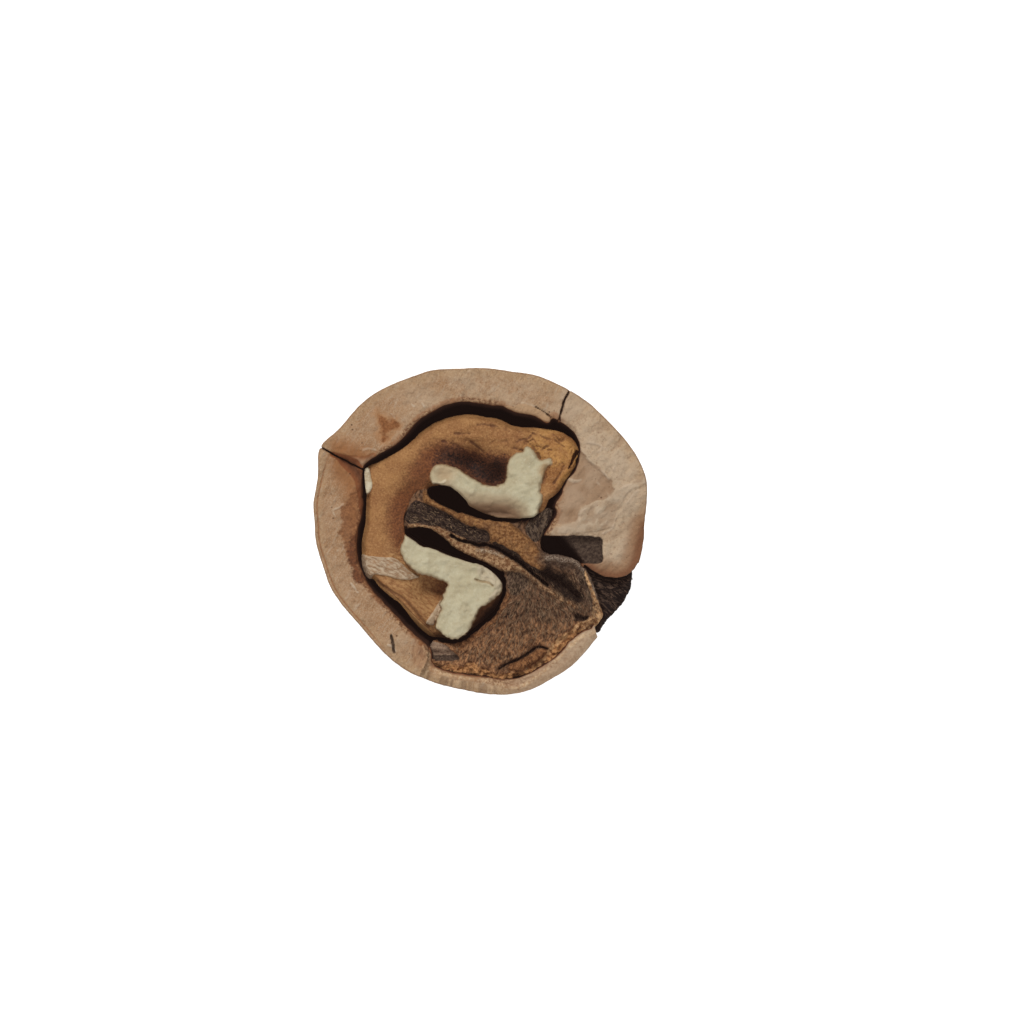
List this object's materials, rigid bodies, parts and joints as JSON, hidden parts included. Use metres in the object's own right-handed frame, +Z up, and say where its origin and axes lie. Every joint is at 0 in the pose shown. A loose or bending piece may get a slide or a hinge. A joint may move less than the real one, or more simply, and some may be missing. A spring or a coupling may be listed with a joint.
{
  "type": "cracked walnut",
  "caption": "Thick-shelled walnut broken across, standing on its round end, with the broken kernel, papery septum and dark suture fibres in its cavity.",
  "frame": {"origin": "middle of the flat spot that the nut stands on, under the middle of its bounding box", "axes": "+Z up out of the broken face, X to the right and +Y away from the viewer as the picture shows the nut from above"},
  "size_m": [0.036, 0.0353, 0.0205],
  "materials": {
    "shell": "dull broken nutshell, pale buff on the break and brown towards the cavity",
    "kernel": "brown papery seed skin over ivory broken flesh",
    "septum": "matt brown spongy fibre",
    "fibres": "matt near-black fibre"
  },
  "bodies": {
    "root": {"shell_valve_back": "shell", "shell_valve_front": "shell", "kernel": "kernel", "septum": "septum", "suture_fibres": "fibres"}
  },
  "joints": []
}
